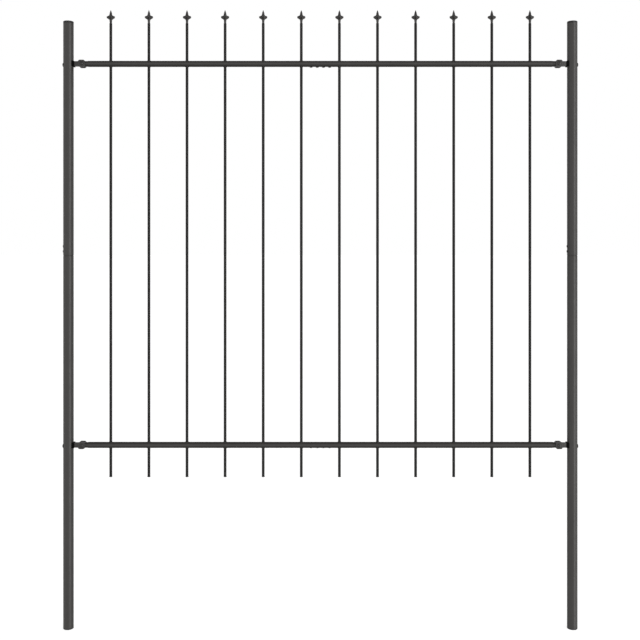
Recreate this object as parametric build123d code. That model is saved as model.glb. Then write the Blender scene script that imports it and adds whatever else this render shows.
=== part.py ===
from build123d import *
from math import atan2, degrees
import os

# A steel garden fence panel between two tube posts. The panel is two welded
# half panels, joined end to end by sleeves inside their rails, and hung on the
# posts by four swivel brackets. Millimetres, with the origin on the flat foot
# of the left post: +X runs along the fence, +Y to its back and +Z up.

# Posts, each in two sections that plug together
post_diameter = 33.7
post_wall = 1.2
post_height = 2000.0
post_seam_height = 1232.0
post_lap_length = 60.0
post_lap_clearance = 0.15

# Plastic plugs in the posts' ends
foot_rim_height = 4.0
cap_rim_height = 6.0
cap_edge_chamfer = 1.5
plug_depth = 18.0
plug_clearance = 0.15
plug_wall = 2.0
plug_sides = 12

# Rails, with an inner sleeve at the middle joint
rail_diameter = 20.0
rail_wall = 1.0
rail_sides = 12
lower_rail_rise = 106.0
upper_rail_drop = 134.0
sleeve_length = 100.0
sleeve_wall = 1.5
sleeve_clearance = 0.15

# Pickets, whose tubes end level with the posts
picket_diameter = 8.0
picket_wall = 0.8
picket_sides = 6
picket_foot_height = 500.0
picket_pitch = 126.0
pickets_per_half = 6
post_to_first_picket = 140.0

# Plugs in the pickets' feet, with a rim a little wider than the tube
picket_rim_height = 4.0
picket_rim_bulge = 0.6
picket_rim_chamfer = 1.2
picket_stem_depth = 12.0
picket_stem_clearance = 0.1

# Spear points, cast with four ears round an eight-sided core
spear_neck_diameter = 7.8
spear_neck_height = 12.0
spear_ear_reach = 13.5
spear_ear_thickness = 5.0
spear_ear_foot = 17.5
spear_ear_low = 19.0
spear_ear_high = 23.0
spear_ear_top = 24.5
spear_ear_root_rise = 1.0
spear_shoulder_height = 28.0
spear_core_diameter = 9.6
spear_height = 44.0
spear_tip_diameter = 1.4
spear_peg_length = 14.0
spear_peg_clearance = 0.1

# Swivel brackets, measured from the post's axis along the rail
saddle_face_from_post = 20.5
saddle_width = 23.0
saddle_height = 18.6
saddle_edge_chamfer = 1.5
pivot_from_post = 45.6
eye_width = 16.0
eye_height = 15.6
eye_gap = 0.2
cheek_thickness = 4.0
cheek_width = 22.0
cheek_height = 23.2
cheek_corner = 6.0
fork_slot_depth = 9.0
yoke_height = 13.0
neck_diameter = 18.6
neck_length = 8.0
rail_end_from_post = 65.6
fork_spigot_length = 25.0
fork_spigot_clearance = 0.15
fork_spigot_chamfer = 1.5

# Pivot pins and the bolts through the posts, with low heads
fastener_sides = 8
pin_diameter = 8.0
pin_clearance = 0.1
post_bolt_diameter = 6.0
post_bolt_clearance = 0.2
post_bolt_drop = 3.3
post_bolt_depth_in_eye = 9.0
head_diameter = 13.0
head_crown_diameter = 7.0
head_height = 2.4

# Sizes that follow from the ones above
half_length = post_to_first_picket + (pickets_per_half - 0.5) * picket_pitch
post_spacing = 2 * half_length
post_radius = post_diameter / 2
post_bore = post_radius - post_wall
rail_radius = rail_diameter / 2
rail_bore = rail_radius - rail_wall
rail_heights = {
    "lower": picket_foot_height + lower_rail_rise,
    "upper": post_height - upper_rail_drop,
}
picket_radius = picket_diameter / 2
picket_bore = picket_radius - picket_wall
picket_tube_foot = picket_foot_height + picket_rim_height
picket_places = [post_to_first_picket + i * picket_pitch for i in range(2 * pickets_per_half)]
bolt_radius = post_bolt_diameter / 2
bolt_hole_radius = bolt_radius + post_bolt_clearance
bolt_end = saddle_face_from_post + post_bolt_depth_in_eye
pin_hole_radius = pin_diameter / 2 + pin_clearance

os.makedirs("parts", exist_ok=True)


def save(solids, name):
    """Writes a node: one solid, or several alike that don't touch."""
    export_step(Compound(children=solids) if isinstance(solids, list) else solids, f"parts/{name}.step")


def flat_outline(radius, sides):
    """An outline of few sides, with its flats at the radius."""
    return RegularPolygon(radius, sides, rotation=180 / sides, major_radius=False)


def bar(radius, length, sides=None):
    """A bar that stands on the XY plane, round or of few sides."""
    if sides is None:
        return Cylinder(radius, length, align=(Align.CENTER, Align.CENTER, Align.MIN))
    return extrude(flat_outline(radius, sides), length)


def upright_bar(radius, low, high, sides=None):
    return Pos(0, 0, low) * bar(radius, high - low, sides)


def bar_along_x(radius, start, end, height=0.0, sides=None):
    return Pos(start, 0, height) * Rot(0, 90, 0) * bar(radius, end - start, sides)


def bar_along_y(radius, start, end, sides=None):
    return Pos(0, start, 0) * Rot(-90, 0, 0) * bar(radius, end - start, sides)


def turned(points):
    """A solid turned about Z from a half outline of (radius, height) points."""
    return revolve(make_face(Polyline(points, close=True)).moved(Rot(90, 0, 0)), Axis.Z)


def bracket_place(side, height):
    """Where a bracket stands: the right one is the left one turned half round."""
    if side == "left":
        return Pos(0, 0, height)
    return Pos(post_spacing, 0, height) * Rot(0, 0, 180)


def low_head():
    """A fastener's low head on the XY plane, its crown up."""
    slope = degrees(atan2(head_diameter - head_crown_diameter, 2 * head_height))
    outline = flat_outline(head_diameter / 2, fastener_sides)
    return extrude(outline, head_height, taper=slope)


# Posts
# Each section has a hole through both walls for the bracket's bolt.
def bolt_hole(level):
    height = rail_heights[level] - post_bolt_drop
    return bar_along_x(bolt_hole_radius, -post_diameter, post_diameter, height, fastener_sides)


lap_radius = post_bore - post_lap_clearance
lap_top = post_seam_height + post_lap_length
post_lower = turned(
    [
        (post_bore, foot_rim_height),
        (post_radius, foot_rim_height),
        (post_radius, post_seam_height),
        (lap_radius, post_seam_height),
        (lap_radius, lap_top),
        (lap_radius - post_wall, lap_top),
        (lap_radius - post_wall, post_seam_height - post_wall),
        (post_bore, post_seam_height - 3 * post_wall),
    ]
)
post_lower -= bolt_hole("lower")
post_upper = upright_bar(post_radius, post_seam_height, post_height)
post_upper -= upright_bar(post_bore, post_seam_height, post_height)
post_upper -= bolt_hole("upper")

# Plugs of the posts: a round rim that closes the tube, and a hollow skirt whose
# corners grip the tube from inside
skirt_radius = post_bore - plug_clearance
skirt_outline = RegularPolygon(skirt_radius, plug_sides)
skirt_outline -= RegularPolygon(skirt_radius - plug_wall, plug_sides)
skirt = extrude(skirt_outline, plug_depth)
cap = upright_bar(post_radius, post_height, post_height + cap_rim_height)
cap = chamfer(cap.edges().sort_by(Axis.Z)[-1], cap_edge_chamfer)
cap += Pos(0, 0, post_height - plug_depth) * skirt
foot_plug = upright_bar(post_radius, 0, foot_rim_height) + Pos(0, 0, foot_rim_height) * skirt

post_places = {side: bracket_place(side, 0) for side in ("left", "right")}
for side, place in post_places.items():
    save(place * post_lower, f"{side}_post_lower")
    save(place * post_upper, f"{side}_post_upper")
save([place * cap for place in post_places.values()], "post_caps")
save([place * foot_plug for place in post_places.values()], "post_foot_plugs")


# Half panels
# The pickets go right through the rails and are welded there, so each half
# panel is one piece. Its rails stop at the middle of the fence.
def rail_bar(radius, height):
    return bar_along_x(radius, rail_end_from_post, half_length, height, rail_sides)


rails = [rail_bar(rail_radius, z) - rail_bar(rail_bore, z) for z in rail_heights.values()]
picket = upright_bar(picket_radius, picket_tube_foot, post_height, picket_sides)
picket_hollow = upright_bar(picket_bore, picket_tube_foot, post_height, picket_sides)
half_places = [Pos(x, 0, 0) for x in picket_places[:pickets_per_half]]
half_panel = Part() + rails + [place * picket for place in half_places]
half_panel -= [place * picket_hollow for place in half_places]
for side, place in post_places.items():
    save(place * half_panel, f"{side}_half_panel")

# Sleeves inside the rails at the middle joint
sleeve_radius = rail_bore - sleeve_clearance
sleeve_start = half_length - sleeve_length / 2
sleeve_end = half_length + sleeve_length / 2
sleeve = bar_along_x(sleeve_radius, sleeve_start, sleeve_end, sides=rail_sides)
sleeve -= bar_along_x(sleeve_radius - sleeve_wall, sleeve_start, sleeve_end, sides=rail_sides)
save([Pos(0, 0, z) * sleeve for z in rail_heights.values()], "rail_sleeves")

# Plugs in the pickets' feet
rim_radius = picket_radius + picket_rim_bulge
picket_rim = upright_bar(rim_radius, picket_foot_height, picket_tube_foot, picket_sides)
rim_ends = picket_rim.edges().group_by(Axis.Z)
picket_rim = chamfer(rim_ends[0] + rim_ends[-1], picket_rim_chamfer)
stem_top = picket_tube_foot + picket_stem_depth
stem_radius = picket_bore - picket_stem_clearance
picket_stem = upright_bar(stem_radius, picket_tube_foot, stem_top, picket_sides)
picket_plug = picket_rim + picket_stem
save([Pos(x, 0, 0) * picket_plug for x in picket_places], "picket_foot_plugs")


# Spear points
# What four slabs of one outline have in common is an eight-sided core. Two
# crossed plates make its four ears, and a square peg goes into the picket.
def slab(half_outline, thickness):
    """A slab in the XZ plane, from the right half of its outline."""
    left_half = [(-across, height) for across, height in reversed(half_outline)]
    face = Plane.XZ * make_face(Polyline(half_outline + left_half, close=True))
    return extrude(face, thickness / 2, both=True)


spear_neck_radius = spear_neck_diameter / 2
spear_core_radius = spear_core_diameter / 2
core_slab = slab(
    [
        (spear_neck_radius, 0),
        (spear_neck_radius, spear_neck_height),
        (spear_core_radius, spear_shoulder_height),
        (spear_tip_diameter / 2, spear_height),
    ],
    4 * spear_ear_reach,
)
spear_core = core_slab
for quarter in range(1, 4):
    spear_core &= Rot(0, 0, 45 * quarter) * core_slab
ear_corner = spear_ear_reach - (spear_ear_low - spear_ear_foot)
ear_plate = slab(
    [
        (spear_neck_radius, spear_neck_height),
        (ear_corner, spear_ear_foot),
        (spear_ear_reach, spear_ear_low),
        (spear_ear_reach, spear_ear_high),
        (ear_corner, spear_ear_top),
        ((ear_corner + spear_core_radius) / 2, spear_ear_top + spear_ear_root_rise),
        (spear_core_radius, spear_shoulder_height),
    ],
    spear_ear_thickness,
)
ears = ear_plate + Rot(0, 0, 90) * ear_plate
peg_side = (picket_bore - spear_peg_clearance) * 2**0.5
peg = Box(peg_side, peg_side, spear_peg_length, align=(Align.CENTER, Align.CENTER, Align.MAX))
spear = spear_core + ears + peg
for number, x in enumerate(picket_places, start=1):
    save(Pos(x, 0, post_height) * spear, f"spear_point_{number:02d}")

# Swivel brackets
# A saddle against the post, an eye bolted through it, and a fork on the end of
# the rail that turns on a pin through the eye.
from_face = (Align.MIN, Align.CENTER, Align.CENTER)
post_rod = Cylinder(post_radius, 2 * saddle_height)
bolt_clear_hole = bar_along_x(
    bolt_hole_radius, 0, saddle_face_from_post, -post_bolt_drop, fastener_sides
)
saddle = Box(saddle_face_from_post, saddle_width, saddle_height, align=from_face)
saddle = chamfer(saddle.faces().sort_by(Axis.X)[-1].edges(), saddle_edge_chamfer)
saddle = saddle - post_rod - bolt_clear_hole

eye_length = pivot_from_post - saddle_face_from_post
eye = Pos(saddle_face_from_post, 0, 0) * Box(eye_length, eye_width, eye_height, align=from_face)
eye += Pos(pivot_from_post, 0, 0) * bar_along_y(eye_height / 2, -eye_width / 2, eye_width / 2)
pin_hole = bar_along_y(pin_hole_radius, -saddle_width, saddle_width, fastener_sides)
pin_hole = Pos(pivot_from_post, 0, 0) * pin_hole
bolt_seat = bar_along_x(
    bolt_radius, saddle_face_from_post, bolt_end, -post_bolt_drop, fastener_sides
)
eye = eye - pin_hole - bolt_seat

slot_half_width = eye_width / 2 + eye_gap
cheek_face = slot_half_width + cheek_thickness
neck_start = rail_end_from_post - neck_length
slot_end = pivot_from_post + fork_slot_depth
cheek = Pos(pivot_from_post, 0) * RectangleRounded(cheek_width, cheek_height, cheek_corner)
yoke_length = neck_start - pivot_from_post
yoke = Pos(pivot_from_post + yoke_length / 2, 0) * Rectangle(yoke_length, yoke_height)
fork = extrude(Plane.XZ * (cheek + yoke), cheek_face, both=True)
slot = Box(2 * slot_end, 2 * slot_half_width, 2 * rail_diameter)
fork -= slot
fork += bar_along_x(neck_diameter / 2, slot_end, rail_end_from_post, sides=rail_sides)
spigot_radius = rail_bore - fork_spigot_clearance
spigot_end = rail_end_from_post + fork_spigot_length
spigot = bar_along_x(spigot_radius, rail_end_from_post, spigot_end, sides=rail_sides)
spigot = chamfer(spigot.edges().group_by(Axis.X)[-1], fork_spigot_chamfer)
fork = fork + spigot - pin_hole

# Pins through the forks, and bolts through the posts into the eyes
front_head = Pos(0, -cheek_face, 0) * Rot(90, 0, 0) * low_head()
back_head = Pos(0, cheek_face, 0) * Rot(-90, 0, 0) * low_head()
pin = bar_along_y(pin_diameter / 2, -cheek_face, cheek_face, fastener_sides)
pin = Pos(pivot_from_post, 0, 0) * (pin + front_head + back_head)
bolt = bar_along_x(bolt_radius, -post_radius, bolt_end, -post_bolt_drop, fastener_sides)
bolt += Pos(-post_radius, 0, -post_bolt_drop) * Rot(0, -90, 0) * low_head()

bracket_pieces = {"saddles": saddle, "eyes": eye, "forks": fork, "pivot_pins": pin, "post_bolts": bolt}
for side in ("left", "right"):
    places = [bracket_place(side, height) for height in rail_heights.values()]
    for name, piece in bracket_pieces.items():
        save([place * piece for place in places], f"{side}_{name}")
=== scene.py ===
# %% [markdown]
# # A steel garden fence panel
#
# The CAD model of this panel is exact but plain: its thin bars have six or twelve flat sides,
# and its castings have hard corners. This lesson dresses it. We model round tubes, weld beads,
# cast spear points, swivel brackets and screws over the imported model, give each its finish,
# and light it like a product on a white ground.

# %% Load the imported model
import math

import bmesh
import bpy
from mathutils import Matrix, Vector


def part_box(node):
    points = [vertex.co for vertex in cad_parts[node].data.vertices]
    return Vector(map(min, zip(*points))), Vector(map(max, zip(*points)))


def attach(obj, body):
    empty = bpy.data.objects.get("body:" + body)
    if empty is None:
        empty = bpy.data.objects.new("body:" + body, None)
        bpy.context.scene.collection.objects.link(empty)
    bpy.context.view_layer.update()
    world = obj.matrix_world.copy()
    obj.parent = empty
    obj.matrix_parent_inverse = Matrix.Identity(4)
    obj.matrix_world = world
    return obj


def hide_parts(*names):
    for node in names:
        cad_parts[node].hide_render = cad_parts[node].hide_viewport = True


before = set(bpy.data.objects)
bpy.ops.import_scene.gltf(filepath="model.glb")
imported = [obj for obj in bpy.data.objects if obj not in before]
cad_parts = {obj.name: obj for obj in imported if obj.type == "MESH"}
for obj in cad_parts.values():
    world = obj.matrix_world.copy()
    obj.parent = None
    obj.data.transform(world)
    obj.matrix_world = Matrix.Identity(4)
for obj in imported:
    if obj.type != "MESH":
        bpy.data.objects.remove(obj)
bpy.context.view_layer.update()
print("CAD nodes:", len(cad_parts))

# %% [markdown]
# ## Where things are
#
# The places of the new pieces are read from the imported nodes, so nothing has to be fitted by
# eye. A post's width gives its radius, the two lengths of post meet at the seam, and the
# cheeks of the brackets' forks are centred on the rails.

# %% Places on the posts
mm = 0.001
post_low_corner, post_high_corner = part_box("left_post_lower")
post_radius = (post_high_corner.x - post_low_corner.x) / 2
foot_rim_top = post_low_corner.z
seam_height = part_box("left_post_upper")[0].z
post_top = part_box("left_post_upper")[1].z
cap_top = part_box("post_caps")[1].z
right_post_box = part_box("right_post_lower")
post_spacing = (right_post_box[0].x + right_post_box[1].x) / 2
print("posts:", round(post_radius, 5), "radius,", round(post_spacing, 4), "apart")

# %% Places on the rails and pickets
cheek_height = 23.2 * mm
fork_low_corner, fork_high_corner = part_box("left_forks")
rail_heights = {
    "lower": fork_low_corner.z + cheek_height / 2,
    "upper": fork_high_corner.z - cheek_height / 2,
}
rail_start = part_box("left_half_panel")[0].x
rail_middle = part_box("left_half_panel")[1].x
spear_nodes = sorted(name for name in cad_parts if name.startswith("spear_point"))
spear_boxes = [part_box(name) for name in spear_nodes]
picket_places = [(low.x + high.x) / 2 for low, high in spear_boxes]
picket_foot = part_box("picket_foot_plugs")[0].z
print("rails at", {name: round(height, 4) for name, height in rail_heights.items()})
print("pickets at", [round(x, 3) for x in picket_places])

# %% [markdown]
# ## The camera
#
# The photograph was taken straight from the front. Its horizon lies above the middle of the
# picture, about 1.24 m above the posts' feet. So the camera looks level from that height, and
# its lens is shifted down a little to bring the whole fence into the frame, as with a view
# camera.

# %% Camera
picture_size = 640
fence_middle_in_picture = 320.35
horizon_in_picture = 254.1
camera_distance = 2.94
camera_height = 1.237

bpy.ops.object.camera_add(
    location=(post_spacing / 2, -camera_distance, camera_height),
    rotation=(math.radians(90), 0, 0),
)
camera = bpy.context.object
camera.data.lens = 50
camera.data.sensor_width = 36
camera.data.shift_x = (picture_size / 2 - fence_middle_in_picture) / picture_size
camera.data.shift_y = (horizon_in_picture - picture_size / 2) / picture_size
bpy.context.scene.camera = camera
print("camera shift:", round(camera.data.shift_x, 4), round(camera.data.shift_y, 4))

# %% [markdown]
# ## A white studio
#
# Black gloss shows little but what it reflects. The surroundings are a bright band at the
# height of the horizon that gets darker overhead and underfoot, which leaves the top and
# bottom edges of a round rail dark, as in the photograph. Behind the fence, to its left and
# right, they are darker too, which draws the dark line down the edge of each post. Only the
# fence sees these surroundings. What the camera sees directly is a plain white backdrop, on
# every side. The colours are shown as they are, without a film look.

# %% Surroundings
# Each stop is a place from one end of the axis to the other, and the brightness there.
height_stops = [(0.0, 0.2), (0.18, 0.3), (0.3, 1.0), (0.7, 1.0), (0.82, 0.3), (1.0, 0.2)]
depth_stops = [(0.0, 1.0), (0.6, 1.0), (0.66, 0.4), (0.86, 0.4), (0.93, 1.0), (1.0, 1.0)]
white = (1, 1, 1, 1)

world = bpy.data.worlds.new("white_studio")
bpy.context.scene.world = world
world.use_nodes = True
world_nodes = world.node_tree.nodes
world_links = world.node_tree.links
sky_direction = world_nodes.new("ShaderNodeTexCoord")
sky_parts = world_nodes.new("ShaderNodeSeparateXYZ")
world_links.new(sky_direction.outputs["Generated"], sky_parts.inputs[0])


def sky_band(part, stops):
    band_range = world_nodes.new("ShaderNodeMapRange")
    band_range.inputs["From Min"].default_value = -1
    band = world_nodes.new("ShaderNodeValToRGB")
    while len(band.color_ramp.elements) < len(stops):
        band.color_ramp.elements.new(1.0)
    for stop, (place, brightness) in zip(band.color_ramp.elements, stops):
        stop.position = place
        stop.color = (brightness, brightness, brightness, 1)
    world_links.new(sky_parts.outputs[part], band_range.inputs["Value"])
    world_links.new(band_range.outputs["Result"], band.inputs["Fac"])
    return band


sky = world_nodes.new("ShaderNodeVectorMath")
sky.operation = "MULTIPLY"
world_links.new(sky_band("Z", height_stops).outputs["Color"], sky.inputs[0])
world_links.new(sky_band("Y", depth_stops).outputs["Color"], sky.inputs[1])
world_links.new(sky.outputs["Vector"], world_nodes["Background"].inputs["Color"])

backdrop = world_nodes.new("ShaderNodeBackground")
backdrop.inputs["Color"].default_value = white
sight = world_nodes.new("ShaderNodeLightPath")
seen_or_mirrored = world_nodes.new("ShaderNodeMixShader")
world_links.new(sight.outputs["Is Camera Ray"], seen_or_mirrored.inputs["Fac"])
world_links.new(world_nodes["Background"].outputs["Background"], seen_or_mirrored.inputs[1])
world_links.new(backdrop.outputs["Background"], seen_or_mirrored.inputs[2])
world_output = world_nodes["World Output"]
world_links.new(seen_or_mirrored.outputs["Shader"], world_output.inputs["Surface"])
bpy.context.scene.view_settings.view_transform = "Standard"

# %% [markdown]
# One large soft lamp stands to the front right. On an upright tube it draws the narrow pale
# line just right of the middle that the photograph has on both posts. Where that line lies
# gives the lamp's direction, because the line faces half way between camera and lamp.

# %% Lamp
lamp_direction = math.radians(47)
lamp_distance = 7.0
lamp_width = 2.4
lamp_height = 9.0
lamp_watts = 190
fence_middle = Vector((post_spacing / 2, 0, camera_height))
lamp_place = fence_middle + lamp_distance * Vector(
    (math.sin(lamp_direction), -math.cos(lamp_direction), 0)
)
bpy.ops.object.light_add(type="AREA", location=lamp_place)
lamp = bpy.context.object
lamp.data.shape = "RECTANGLE"
lamp.data.size = lamp_width
lamp.data.size_y = lamp_height
lamp.data.energy = lamp_watts
lamp.rotation_euler = (fence_middle - lamp_place).to_track_quat("-Z", "Y").to_euler()
print("lamp at", [round(value, 2) for value in lamp_place])

# %% [markdown]
# The floor is a plain pale sheet. It glows a little, so that it reads as white paper, and it
# isn't seen in the fence's own gloss, which keeps the undersides of the rails dark.

# %% Floor
floor_size = 2000
paper_tone = 0.6
paper_roughness = 0.9
paper_glow = 0.8

bpy.ops.object.select_all(action="DESELECT")
bpy.ops.mesh.primitive_plane_add(size=floor_size, location=(post_spacing / 2, 0, 0))
floor = bpy.context.object
floor.name = "floor"
floor.visible_diffuse = False
floor.visible_glossy = False
floor.visible_shadow = False
paper = bpy.data.materials.new("pale_paper")
paper.use_nodes = True
paper_shader = paper.node_tree.nodes["Principled BSDF"]
paper_shader.inputs["Base Color"].default_value = (paper_tone, paper_tone, paper_tone, 1)
paper_shader.inputs["Roughness"].default_value = paper_roughness
paper_shader.inputs["Emission Color"].default_value = white
paper_shader.inputs["Emission Strength"].default_value = paper_glow
floor.data.materials.append(paper)

# %% [markdown]
# ## Finishes
#
# All the steel is powder coated in satin black. Powder melts into a skin that is nearly
# smooth, with the faint pebbling called orange peel. Three noises on the piece's own
# coordinates do this: a fine one bends the normals, a middling one varies the gloss, and a
# broad one the tone. The black is a little warm, and the plastic's is neutral. The pickets
# wear the same coat as the posts and rails, but their copy is painted darker and mirrors
# less: painted shade on the thin bars. The saddles' plastic is painted darker still and hardly
# mirrors: painted shade from the crevice against the post.

# %% A coating
noise_low = 0.3
noise_high = 0.7
gloss_patch_scale = 45
gloss_change = 0.04
tone_patch_scale = 7
tone_change = 0.12


def coating(name, tone, roughness, pebble_scale, pebble_depth, warmth=1.08):
    finish = bpy.data.materials.new(name)
    finish.use_nodes = True
    nodes = finish.node_tree.nodes
    links = finish.node_tree.links
    shader = nodes["Principled BSDF"]
    place = nodes.new("ShaderNodeTexCoord")

    pebbles = nodes.new("ShaderNodeTexNoise")
    pebbles.inputs["Scale"].default_value = pebble_scale
    pebbles.inputs["Detail"].default_value = 3
    bump = nodes.new("ShaderNodeBump")
    bump.inputs["Strength"].default_value = 0.5
    bump.inputs["Distance"].default_value = pebble_depth
    links.new(place.outputs["Object"], pebbles.inputs["Vector"])
    links.new(pebbles.outputs["Fac"], bump.inputs["Height"])
    links.new(bump.outputs["Normal"], shader.inputs["Normal"])

    gloss_patches = nodes.new("ShaderNodeTexNoise")
    gloss_patches.inputs["Scale"].default_value = gloss_patch_scale
    gloss_patches.inputs["Detail"].default_value = 4
    gloss_range = nodes.new("ShaderNodeMapRange")
    gloss_range.inputs["From Min"].default_value = noise_low
    gloss_range.inputs["From Max"].default_value = noise_high
    gloss_range.inputs["To Min"].default_value = roughness - gloss_change
    gloss_range.inputs["To Max"].default_value = roughness + gloss_change
    links.new(place.outputs["Object"], gloss_patches.inputs["Vector"])
    links.new(gloss_patches.outputs["Fac"], gloss_range.inputs["Value"])
    links.new(gloss_range.outputs["Result"], shader.inputs["Roughness"])

    tone_patches = nodes.new("ShaderNodeTexNoise")
    tone_patches.inputs["Scale"].default_value = tone_patch_scale
    tone_patches.inputs["Detail"].default_value = 5
    tones = nodes.new("ShaderNodeValToRGB")
    tone_stops = ((noise_low, 1 - tone_change), (noise_high, 1 + tone_change))
    for stop, (position, share) in zip(tones.color_ramp.elements, tone_stops):
        stop.position = position
        stop.color = (tone * share * warmth, tone * share, tone * share / warmth, 1)
    links.new(place.outputs["Object"], tone_patches.inputs["Vector"])
    links.new(tone_patches.outputs["Fac"], tones.inputs["Fac"])
    links.new(tones.outputs["Color"], shader.inputs["Base Color"])
    return finish


# %% The fence's finishes
def set_shader(finish, socket, value):
    finish.node_tree.nodes["Principled BSDF"].inputs[socket].default_value = value


# Each has a name, a tone, a roughness, and the scale and depth of its pebbles.
powder_coat = coating("satin_black_powder_coat", 0.032, 0.36, 900, 0.12 * mm)
# The pickets' copy of the powder coat is painted darker, with less mirror: painted shade on
# thin bars.
picket_coat_painted_shade = coating("satin_black_coat_painted_shade", 0.007, 0.36, 900, 0.12 * mm)
set_shader(picket_coat_painted_shade, "Specular IOR Level", 0.24)
coated_casting = coating("coated_casting", 0.028, 0.40, 420, 0.4 * mm)
coated_weld = coating("coated_weld", 0.028, 0.42, 300, 0.9 * mm)
coated_fastener = coating("black_fastener", 0.024, 0.33, 1200, 0.05 * mm)
moulded_plastic = coating("moulded_black_plastic", 0.010, 0.50, 1600, 0.08 * mm, warmth=1.0)
# The saddle is black plastic, but it is painted darker than the other plastic, with almost no
# mirror: painted shade from the crevice against the post.
saddle_plastic_painted_shade = coating("matt_black_plastic_painted_shade", 0.002, 0.65, 1600, 0.08 * mm, warmth=1.0)
set_shader(saddle_plastic_painted_shade, "Specular IOR Level", 0.06)
bare_steel = coating("bare_steel", 0.55, 0.38, 500, 0.08 * mm, warmth=1.0)
set_shader(bare_steel, "Metallic", 1.0)
print("finishes:", [finish.name for finish in bpy.data.materials if finish != paper])

# %% [markdown]
# ## Working by hand, in code
#
# Blender's operators act on everything that is selected, and loading leaves the CAD nodes
# selected. So each helper first lets go of everything and takes hold of one piece. Faces and
# corners are then picked by where they are.

# %% Holding a piece
def let_go():
    if bpy.context.object and bpy.context.object.mode != "OBJECT":
        bpy.ops.object.mode_set(mode="OBJECT")
    bpy.ops.object.select_all(action="DESELECT")


def take(piece):
    let_go()
    piece.select_set(True)
    bpy.context.view_layer.objects.active = piece


def edit(piece):
    take(piece)
    bpy.ops.object.mode_set(mode="EDIT")
    bpy.ops.mesh.select_all(action="SELECT")


def pick_corners(piece, wanted):
    bpy.ops.mesh.select_all(action="DESELECT")
    mesh = bmesh.from_edit_mesh(piece.data)
    for corner in mesh.verts:
        corner.select_set(wanted(corner.co))
    mesh.select_flush(True)
    bmesh.update_edit_mesh(piece.data)


# %% Placing and finishing a piece
def settle(piece, place=(0, 0, 0), turn=(0, 0, 0)):
    take(piece)
    piece.location = place
    piece.rotation_euler = turn
    bpy.ops.object.transform_apply(location=True, rotation=True, scale=True)
    return piece


def copy_of(piece, name):
    twin = piece.copy()
    twin.data = piece.data.copy()
    twin.name = name
    bpy.context.scene.collection.objects.link(twin)
    return twin


def smooth(piece, sharper_than=35):
    take(piece)
    bpy.ops.object.shade_smooth_by_angle(angle=math.radians(sharper_than))


def hand_over(piece, finish, slot, *nodes):
    piece.data.materials.clear()
    piece.data.materials.append(finish)
    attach(piece, "root")
    if nodes:
        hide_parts(*nodes)


# %% [markdown]
# Most of the fence is round. A round piece starts as a ring, and each step pulls the ring along
# and draws it in or out, as a potter does. A solid piece starts as a filled ring. A tube's ring
# goes up the outside, over the end and back down the inside, and closes on itself.

# %% A turned piece
def turned(name, rings, sides=48, filled=True):
    let_go()
    radius, height = rings[0]
    bpy.ops.mesh.primitive_circle_add(
        vertices=sides,
        radius=radius,
        fill_type="NGON" if filled else "NOTHING",
        location=(0, 0, height),
    )
    piece = bpy.context.object
    piece.name = name
    bpy.ops.object.transform_apply(location=True)
    edit(piece)
    for next_radius, next_height in rings[1:]:
        bpy.ops.mesh.extrude_region_move(
            TRANSFORM_OT_translate={"value": (0, 0, next_height - height)}
        )
        grow = next_radius / radius
        bpy.ops.transform.resize(value=(grow, grow, 1), center_override=(0, 0, next_height))
        radius, height = next_radius, next_height
    bpy.ops.mesh.select_all(action="SELECT")
    bpy.ops.mesh.remove_doubles(threshold=1e-6)
    bpy.ops.mesh.normals_make_consistent(inside=False)
    bpy.ops.object.mode_set(mode="OBJECT")
    return piece


def tube(name, radius, wall, low, high, edge=0.3 * mm, sides=64):
    rings = [
        (radius - wall, low + edge),
        (radius - wall + edge, low),
        (radius - edge, low),
        (radius, low + edge),
        (radius, high - edge),
        (radius - edge, high),
        (radius - wall + edge, high),
        (radius - wall, high - edge),
        (radius - wall, low + edge),
    ]
    return turned(name, rings, sides, filled=False)


# %% [markdown]
# ## The posts
#
# Each post is two tubes. The lower one is drawn in at its top and plugs into the upper one, so
# all that shows is a fine line where they meet. Both ends of that joint have a small rounding,
# which is what makes such a line catch the light.

# %% Post tubes
post_wall = 1.2 * mm
joint_edge = 0.55 * mm
inside_clearance = 0.15 * mm
lap_radius = post_radius - post_wall - inside_clearance
lap_height = 60 * mm

lower_rings = [
    (post_radius - post_wall, foot_rim_top),
    (post_radius, foot_rim_top),
    (post_radius, seam_height - 2 * joint_edge),
    (post_radius - joint_edge, seam_height - joint_edge),
    (lap_radius, seam_height - joint_edge),
    (lap_radius, seam_height + lap_height),
    (lap_radius - post_wall, seam_height + lap_height),
    (lap_radius - post_wall, seam_height - post_wall),
    (post_radius - post_wall, seam_height - 3 * post_wall),
    (post_radius - post_wall, foot_rim_top),
]
post_places = {"left": 0.0, "right": post_spacing}
for side, x in post_places.items():
    lower_post = turned(f"{side}_lower_post_tube", lower_rings, 96, filled=False)
    upper_post = tube(
        f"{side}_upper_post_tube", post_radius, post_wall, seam_height, post_top, joint_edge, 96
    )
    for piece, node in ((lower_post, "post_lower"), (upper_post, "post_upper")):
        settle(piece, (x, 0, 0))
        smooth(piece)
        hand_over(piece, powder_coat, "coated_steel", f"{side}_{node}")
print("post seam at", round(seam_height, 4))

# %% [markdown]
# A moulded plug closes each end of a post. Its rim is as wide as the tube and has a rounded
# edge, and a thin skirt goes inside. The rim is the only part that shows.

# %% Caps and foot plugs
skirt_radius = post_radius - post_wall - inside_clearance
skirt_wall = 2 * mm
skirt_depth = 18 * mm
rim_height = cap_top - post_top

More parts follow.
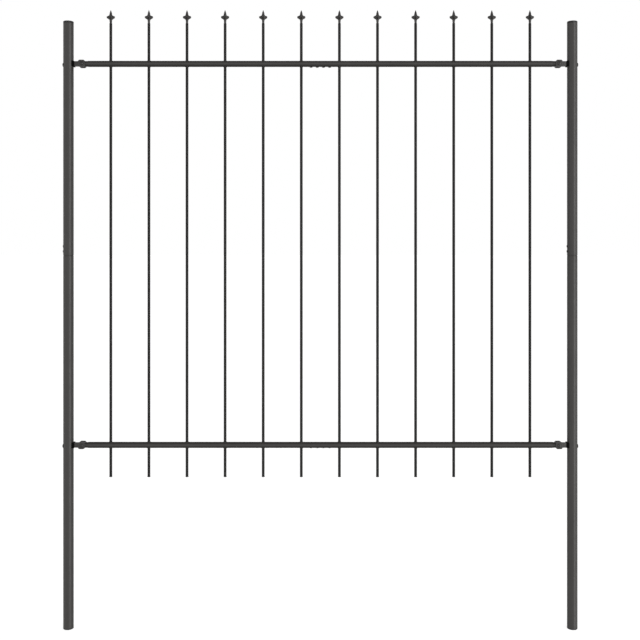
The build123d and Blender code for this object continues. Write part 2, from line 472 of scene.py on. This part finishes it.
cap_rings = [
    (skirt_radius - skirt_wall, -1 * mm),
    (skirt_radius - skirt_wall, -skirt_depth),
    (skirt_radius, -skirt_depth),
    (skirt_radius, 0.1 * mm),
    (post_radius - 0.2 * mm, 0.1 * mm),
    (post_radius, 0.3 * mm),
    (post_radius, rim_height - 1.3 * mm),
    (post_radius - 0.25 * mm, rim_height - 0.7 * mm),
    (post_radius - 0.75 * mm, rim_height - 0.25 * mm),
    (post_radius - 1.5 * mm, rim_height - 0.05 * mm),
    (post_radius * 0.5, rim_height),
]
foot_rings = [
    (post_radius * 0.5, 0),
    (post_radius - 0.8 * mm, 0),
    (post_radius, 0.8 * mm),
    (post_radius, foot_rim_top - 0.2 * mm),
    (skirt_radius, foot_rim_top - 0.1 * mm),
    (skirt_radius, foot_rim_top + skirt_depth),
    (skirt_radius - skirt_wall, foot_rim_top + skirt_depth),
    (skirt_radius - skirt_wall, foot_rim_top + 1 * mm),
]
for side, x in post_places.items():
    cap = settle(turned(f"{side}_post_cap", cap_rings, 96), (x, 0, post_top))
    foot_plug = settle(turned(f"{side}_foot_plug", foot_rings, 96), (x, 0, 0))
    for piece, node in ((cap, "post_caps"), (foot_plug, "post_foot_plugs")):
        smooth(piece)
        hand_over(piece, moulded_plastic, "black_plastic", node)
print("caps:", round(rim_height * 1000, 2), "mm high")

# %% [markdown]
# ## The rails and pickets
#
# The panel comes as two halves. The rails of the halves meet at the middle, over a sleeve that
# stays hidden, and the pickets go right through them. The CAD has all of these with flat
# sides, so here they are turned again as round tubes. The rails are then laid down along the
# fence. A picket's radius reaches to the six corners that the CAD's has.

# %% Rail tubes
rail_radius = 10 * mm
rail_wall = 1 * mm
rail_length = rail_middle - rail_start
lay_along_fence = (0, math.radians(90), 0)

for level, height in rail_heights.items():
    for side, start in (("left", rail_start), ("right", rail_middle)):
        rail = tube(f"{level}_{side}_rail", rail_radius, rail_wall, 0, rail_length)
        settle(rail, (start, 0, height), lay_along_fence)
        smooth(rail)
        hand_over(rail, powder_coat, "coated_steel", f"{side}_half_panel")
print("rails:", round(rail_length, 4), "m long")

# %% Picket tubes
picket_radius = 4.6 * mm
picket_wall = 0.8 * mm
picket_edge = 0.2 * mm
plug_rim_height = 4 * mm
picket_tube_foot = picket_foot + plug_rim_height

picket_pattern = tube(
    "picket", picket_radius, picket_wall, picket_tube_foot, post_top, picket_edge, 40
)
smooth(picket_pattern)
for number, x in enumerate(picket_places, start=1):
    picket = settle(copy_of(picket_pattern, f"picket_{number:02d}"), (x, 0, 0))
    side = "left" if x < rail_middle else "right"
    hand_over(picket, picket_coat_painted_shade, "coated_steel", f"{side}_half_panel")
bpy.data.objects.remove(picket_pattern)
print("pickets:", len(picket_places))

# %% [markdown]
# A bead of weld runs round each picket, above and below each rail. It starts as a flat ring.
# The rail falls away to the front and back, so the ring's front and back are pushed down to
# follow it, in steps: each says, in millimetres, how far out it starts and how far down it
# goes. Then the whole is eased so that it runs evenly, and roughened a little.

# %% A weld bead
bead_radius = 5.1 * mm
bead_thickness = 1.15 * mm

let_go()
bpy.ops.mesh.primitive_torus_add(
    major_radius=bead_radius,
    minor_radius=bead_thickness,
    major_segments=28,
    minor_segments=8,
    location=(0, 0, rail_radius),
)
bead_pattern = bpy.context.object
bpy.ops.object.transform_apply(location=True)
edit(bead_pattern)
rail_falls = ((1.4, 0.12), (2.6, 0.3), (3.8, 0.45), (4.8, 0.25))
for out_from, drop in rail_falls:
    pick_corners(bead_pattern, lambda place: abs(place.y) > out_from * mm)
    bpy.ops.transform.translate(value=(0, 0, -drop * mm))
bpy.ops.mesh.select_all(action="SELECT")
bpy.ops.mesh.vertices_smooth(factor=0.4, repeat=2)
bpy.ops.transform.vertex_random(offset=0.12 * mm, seed=4)
bpy.ops.object.mode_set(mode="OBJECT")
smooth(bead_pattern, 60)

# %% The beads of each half
bead_count = 0
for side in ("left", "right"):
    beads = []
    for x in picket_places:
        if (x < rail_middle) != (side == "left"):
            continue
        for height in rail_heights.values():
            for turn in (0, math.pi):
                bead = copy_of(bead_pattern, "bead")
                beads.append(settle(bead, (x, 0, height), (turn, 0, 0)))
    let_go()
    for bead in beads:
        bead.select_set(True)
    bpy.context.view_layer.objects.active = beads[0]
    bpy.ops.object.join()
    beads[0].name = f"{side}_weld_beads"
    bead_count += len(beads)
    hand_over(beads[0], coated_weld, "coated_steel", f"{side}_half_panel")
bpy.data.objects.remove(bead_pattern)
print("weld beads:", bead_count)

# %% [markdown]
# A small plug with a rounded rim, a little wider than the tube, closes the foot of each picket.

# %% Picket foot plugs
plug_rim_radius = picket_radius + 0.6 * mm
plug_stem_radius = picket_radius - picket_wall - 0.1 * mm
plug_stem_length = 12 * mm
plug_rings = [
    (plug_rim_radius - 1.6 * mm, 0),
    (plug_rim_radius - 0.8 * mm, 0.25 * mm),
    (plug_rim_radius - 0.2 * mm, 1.0 * mm),
    (plug_rim_radius, 2.0 * mm),
    (plug_rim_radius - 0.2 * mm, 3.0 * mm),
    (plug_rim_radius - 0.8 * mm, 3.8 * mm),
    (plug_stem_radius, plug_rim_height),
    (plug_stem_radius, plug_rim_height + plug_stem_length),
]
plug_pattern = turned("picket_plug", plug_rings, 32)
smooth(plug_pattern, 50)
for number, x in enumerate(picket_places, start=1):
    plug = settle(copy_of(plug_pattern, f"picket_plug_{number:02d}"), (x, 0, picket_foot))
    hand_over(plug, moulded_plastic, "black_plastic", "picket_foot_plugs")
bpy.data.objects.remove(plug_pattern)

# %% [markdown]
# ## The spear points
#
# Each picket ends in a cast point: a round neck, four ears that spread like petals, and a cone.
# The core is turned with sixteen sides. Then the three columns of faces that look to one side
# are pulled out, in three steps, and narrowed at each step to make an ear. The core is given a
# quarter turn, and the next ear is pulled the same way. Subdivision rounds it all as casting
# does.

# %% The core
core_rings = [
    (3.8 * mm, 0),
    (3.8 * mm, 0.5 * mm),
    (3.9 * mm, 3.5 * mm),
    (4.3 * mm, 7 * mm),
    (4.3 * mm, 12 * mm),
    (4.6 * mm, 17 * mm),
    (4.8 * mm, 22 * mm),
    (4.9 * mm, 26.5 * mm),
    (4.8 * mm, 29 * mm),
    (3.6 * mm, 35.5 * mm),
    (1.4 * mm, 41 * mm),
    (0.5 * mm, 43.6 * mm),
    (0.3 * mm, 44 * mm),
]
core_sides = 16
half_core_side = math.pi / core_sides

spear_pattern = turned("spear", core_rings, core_sides)
edit(spear_pattern)
bpy.ops.transform.rotate(value=half_core_side, orient_axis="Z", center_override=(0, 0, 0))
print("core of", core_sides, "sides")

# %% The ears
ear_low = 12 * mm
ear_high = 26.5 * mm
ear_spread = math.tan(3.05 * half_core_side)
core_reach = 4.5 * mm
slack = 0.01 * mm
ear_steps = [
    {"reach": 8.3 * mm, "narrow": 0.92, "shorten": 0.68, "height": 20.4 * mm},
    {"reach": 11.8 * mm, "narrow": 0.90, "shorten": 0.70, "height": 20.9 * mm},
    {"reach": 13.5 * mm, "narrow": 0.80, "shorten": 0.66, "height": 21.0 * mm},
]
for quarter in range(4):
    reach = core_reach
    pick_corners(
        spear_pattern,
        lambda place: ear_low - slack < place.z < ear_high + slack
        and abs(place.y) < ear_spread * place.x
        and 0.5 * mm < place.x < 5 * mm,
    )
    for step in ear_steps:
        bpy.ops.mesh.extrude_region_move(
            TRANSFORM_OT_translate={"value": (step["reach"] - reach, 0, 0)}
        )
        reach = step["reach"]
        bpy.ops.transform.resize(
            value=(0, step["narrow"], step["shorten"]),
            center_override=(reach, 0, step["height"]),
        )
    bpy.ops.mesh.select_all(action="SELECT")
    bpy.ops.transform.rotate(value=math.pi / 2, orient_axis="Z", center_override=(0, 0, 0))
bpy.ops.object.mode_set(mode="OBJECT")

# %% Rounding it, and one on each picket
take(spear_pattern)
rounding = spear_pattern.modifiers.new("rounding", "SUBSURF")
rounding.levels = rounding.render_levels = 2
bpy.ops.object.modifier_apply(modifier=rounding.name)
smooth(spear_pattern, 70)
for number, (x, node) in enumerate(zip(picket_places, spear_nodes), start=1):
    spear = settle(copy_of(spear_pattern, f"spear_{number:02d}"), (x, 0, post_top))
    hand_over(spear, coated_casting, "coated_casting", node)
spear_size = [round(value * 1000, 1) for value in spear_pattern.dimensions]
bpy.data.objects.remove(spear_pattern)
print("spear points of", spear_size, "mm")

# %% [markdown]
# ## The swivel brackets
#
# A bracket has a saddle that hugs the post, an eye bolted through the saddle, and a fork that
# carries the rail's end and is pinned to the eye. All are modelled once, on a post at the
# origin with the rail running to the right. Shaping them takes more helpers: one rounds the
# hard edges, one cuts a form away or joins it on, and two make the forms to do it with.

# %% Rounding and cutting
def round_edges(piece, width, steps=3, sharper_than=40):
    take(piece)
    bevel = piece.modifiers.new("rounding", "BEVEL")
    bevel.width = width
    bevel.segments = steps
    bevel.limit_method = "ANGLE"
    bevel.angle_limit = math.radians(sharper_than)
    bpy.ops.object.modifier_apply(modifier=bevel.name)


def combine(piece, other, how):
    take(piece)
    boolean = piece.modifiers.new("combine", "BOOLEAN")
    boolean.operation = how
    boolean.object = other
    boolean.solver = "EXACT"
    bpy.ops.object.modifier_apply(modifier=boolean.name)
    bpy.data.objects.remove(other)


def block(size, place):
    let_go()
    bpy.ops.mesh.primitive_cube_add(size=1, location=place, scale=size)
    piece = bpy.context.object
    bpy.ops.object.transform_apply(location=True, rotation=True, scale=True)
    return piece


def round_bar(radius, length, place, turn=(0, 0, 0), sides=64):
    let_go()
    bpy.ops.mesh.primitive_cylinder_add(
        vertices=sides, radius=radius, depth=length, location=place, rotation=turn
    )
    piece = bpy.context.object
    bpy.ops.object.transform_apply(location=True, rotation=True, scale=True)
    return piece


# %% [markdown]
# The saddle is a block of black plastic. Its front corners are rounded, and the post's round is
# cut out of its back, so that it sits flat against the tube.

# %% Saddle
saddle_face = 20.5 * mm
saddle_back = 10 * mm
saddle_width = 23 * mm
saddle_height = 18.6 * mm
cutter_length = 60 * mm

saddle_pattern = block(
    (saddle_face - saddle_back, saddle_width, saddle_height),
    ((saddle_face + saddle_back) / 2, 0, 0),
)
round_edges(saddle_pattern, 1.6 * mm, 4)
post_cutter = round_bar(post_radius, cutter_length, (0, 0, 0), sides=96)
combine(saddle_pattern, post_cutter, "DIFFERENCE")
round_edges(saddle_pattern, 0.3 * mm, 2, 60)
smooth(saddle_pattern)

# %% [markdown]
# The eye is a bar with a round end. A cylinder becomes one when its left half is pulled out to
# the left, and a cut along the saddle's face makes that end flat.

# %% Eye
pivot = 45.6 * mm
eye_radius = 7.8 * mm
eye_width = 16 * mm
across_fence = (math.radians(90), 0, 0)

eye_pattern = round_bar(eye_radius, eye_width, (pivot, 0, 0), across_fence, 48)
edit(eye_pattern)
pick_corners(eye_pattern, lambda place: place.x < pivot - 0.1 * mm)
bpy.ops.transform.translate(value=(-(pivot - saddle_face) - eye_radius, 0, 0))
bpy.ops.mesh.select_all(action="SELECT")
bpy.ops.mesh.bisect(
    plane_co=(saddle_face, 0, 0), plane_no=(-1, 0, 0), use_fill=True, clear_outer=True
)
bpy.ops.object.mode_set(mode="OBJECT")
round_edges(eye_pattern, 0.8 * mm, 3, 50)
smooth(eye_pattern)
print("eye:", [round(value * 1000, 1) for value in eye_pattern.dimensions])

# %% [markdown]
# The fork's cheeks are nearly square, with round corners. They start as a thin cylinder, as
# long as both cheeks and the slot are wide, and its four quarters are pulled apart. A block,
# the yoke, is a little thinner and carries them over to the neck. Then the slot is cut out
# and the round neck joined on.

# %% Fork
slot_width = 16.4 * mm
cheek_face = 12.2 * mm
neck_start = 57.6 * mm
slot_end = 54.6 * mm
yoke_height = 13 * mm
neck_radius = 9.3 * mm
cheek_width = 22 * mm
cheek_corner = 6 * mm
corner_sides = 48
half_corner_side = math.pi / corner_sides

fork_pattern = round_bar(
    cheek_corner, 2 * cheek_face, (pivot, 0, 0), across_fence, corner_sides
)
edit(fork_pattern)
bpy.ops.transform.rotate(
    value=half_corner_side, orient_axis="Y", center_override=(pivot, 0, 0)
)
sideways = cheek_width / 2 - cheek_corner
upwards = cheek_height / 2 - cheek_corner
for wanted, pull in (
    (lambda place: place.x > pivot, (sideways, 0, 0)),
    (lambda place: place.x < pivot, (-sideways, 0, 0)),
    (lambda place: place.z > 0, (0, 0, upwards)),
    (lambda place: place.z < 0, (0, 0, -upwards)),
):
    pick_corners(fork_pattern, wanted)
    bpy.ops.transform.translate(value=pull)
bpy.ops.object.mode_set(mode="OBJECT")
yoke_length = neck_start - pivot
yoke_step = 0.6 * mm
yoke_size = (yoke_length, 2 * (cheek_face - yoke_step), yoke_height)
yoke = block(yoke_size, (pivot + yoke_length / 2, 0, 0))
combine(fork_pattern, yoke, "UNION")
slot_length = 2 * (slot_end - pivot + cheek_width)
slot_place = (slot_end - slot_length / 2, 0, 0)
slot_cutter = block((slot_length, slot_width, cutter_length), slot_place)
combine(fork_pattern, slot_cutter, "DIFFERENCE")
neck_length = rail_start - slot_end
neck_place = (slot_end + neck_length / 2, 0, 0)
neck = round_bar(neck_radius, neck_length, neck_place, lay_along_fence, 64)
combine(fork_pattern, neck, "UNION")
round_edges(fork_pattern, 0.7 * mm, 3, 45)
smooth(fork_pattern)
print("fork:", [round(value * 1000, 1) for value in fork_pattern.dimensions])

# %% [markdown]
# ## Screws
#
# The pins, bolts and small screws all have low domed heads. The turned dome gets its socket
# from a cutter: a six-sided bar for the bolts, and two crossed blades for the self-tapping
# screws.

# %% Domed heads
def domed_head(name, radius, height):
    rings = [
        (radius - 0.15 * mm, 0),
        (radius, 0.2 * mm),
        (radius * 0.985, height * 0.3),
        (radius * 0.92, height * 0.55),
        (radius * 0.78, height * 0.78),
        (radius * 0.6, height * 0.92),
        (radius * 0.4, height),
    ]
    return turned(name, rings, 48)


def six_sided_socket(head, width, height, depth):
    cutter = round_bar(width / 2, 2 * depth, (0, 0, height), sides=6)
    combine(head, cutter, "DIFFERENCE")


def crossed_socket(head, length, width, height, depth):
    cutter = block((length, width, 2 * depth), (0, 0, height))
    combine(cutter, block((width, length, 2 * depth), (0, 0, height)), "UNION")
    combine(head, cutter, "DIFFERENCE")


# %% Three heads
head_radius = 6.5 * mm
head_height = 2.4 * mm
small_head_radius = 4.5 * mm
small_head_height = 1.6 * mm

bolt_head_pattern = domed_head("bolt_head", head_radius, head_height)
six_sided_socket(bolt_head_pattern, 4.6 * mm, head_height, 1.5 * mm)
smooth(bolt_head_pattern, 30)
screw_head_pattern = domed_head("screw_head", head_radius, head_height)
crossed_socket(screw_head_pattern, 6 * mm, 1.2 * mm, head_height, 1.3 * mm)
smooth(screw_head_pattern, 30)
small_head_pattern = domed_head("small_screw_head", small_head_radius, small_head_height)
crossed_socket(small_head_pattern, 4.2 * mm, 0.9 * mm, small_head_height, 1 * mm)
smooth(small_head_pattern, 30)

# %% [markdown]
# A pivot pin is a round bar between two heads. A post bolt is a head on the far side of the
# post and a bar that goes through the tube and the saddle into the eye, a little below the
# rail's middle.

# %% Pin and bolt
pin_radius = 4 * mm
bolt_radius = 3 * mm
bolt_drop = 3.3 * mm
bolt_end = saddle_face + 9 * mm

pin_pattern = round_bar(pin_radius, 2 * cheek_face, (pivot, 0, 0), across_fence, 32)
for y, turn in ((-cheek_face, math.radians(90)), (cheek_face, math.radians(-90))):
    head = settle(copy_of(bolt_head_pattern, "head"), (pivot, y, 0), (turn, 0, 0))
    combine(pin_pattern, head, "UNION")
smooth(pin_pattern, 30)

bolt_length = bolt_end + post_radius
bolt_pattern = round_bar(
    bolt_radius, bolt_length, (bolt_end - bolt_length / 2, 0, -bolt_drop), lay_along_fence, 32
)
head = copy_of(bolt_head_pattern, "head")
settle(head, (-post_radius, 0, -bolt_drop), (0, math.radians(-90), 0))
combine(bolt_pattern, head, "UNION")
smooth(bolt_pattern, 30)

# %% [markdown]
# Each bracket is the same set of five pieces. Those of the right post are turned half round.

# %% Four brackets
bracket_set = [
    ("saddle", saddle_pattern, saddle_plastic_painted_shade, "black_plastic"),
    ("eye", eye_pattern, coated_casting, "coated_casting"),
    ("fork", fork_pattern, coated_casting, "coated_casting"),
    ("pivot_pin", pin_pattern, coated_fastener, "coated_fastener"),
    ("post_bolt", bolt_pattern, coated_fastener, "coated_fastener"),
]
for side, x in post_places.items():
    turn = (0, 0, 0) if side == "left" else (0, 0, math.pi)
    for level, height in rail_heights.items():
        for word, pattern, finish, slot in bracket_set:
            piece = copy_of(pattern, f"{level}_{side}_{word}")
            settle(piece, (x, 0, height), turn)
            hand_over(piece, finish, slot, f"{side}_{word}s")
for word, pattern, finish, slot in bracket_set:
    bpy.data.objects.remove(pattern)
print("bracket pieces:", 4 * len(bracket_set))

# %% [markdown]
# Two screws hold the lap of each post, from the left. Four more on each rail hold the middle
# joint. They sit at the back of its underside, where only their rims show from the front.

# %% Post and rail screws
post_screw_heights = (1246 * mm, 1263 * mm)
rail_screw_places = [rail_middle + offset * mm for offset in (-30.75, -10.25, 10.25, 30.75)]
rail_screw_tilt = math.radians(180 - 45)
post_screw_sink = 0.1 * mm
rail_screw_sink = 0.3 * mm

for side, x in post_places.items():
    for number, height in enumerate(post_screw_heights, start=1):
        screw = copy_of(small_head_pattern, f"{side}_post_screw_{number}")
        settle(screw, (x - post_radius + post_screw_sink, 0, height), (0, math.radians(-90), 0))
        hand_over(screw, coated_fastener, "coated_fastener")
for level, height in rail_heights.items():
    for number, x in enumerate(rail_screw_places, start=1):
        screw = copy_of(screw_head_pattern, f"{level}_rail_screw_{number}")
        out = Vector((0, math.sin(rail_screw_tilt), math.cos(rail_screw_tilt)))
        place = Vector((x, 0, height)) + out * (rail_radius - rail_screw_sink)
        settle(screw, place, (-rail_screw_tilt, 0, 0))
        hand_over(screw, coated_fastener, "coated_fastener")
bpy.data.objects.remove(bolt_head_pattern)
bpy.data.objects.remove(screw_head_pattern)
bpy.data.objects.remove(small_head_pattern)

# %% [markdown]
# The sleeves inside the rails stay as the CAD has them. They are out of sight, in bare steel.

# %% Sleeves
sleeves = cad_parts["rail_sleeves"]
sleeves.data.materials.clear()
sleeves.data.materials.append(bare_steel)
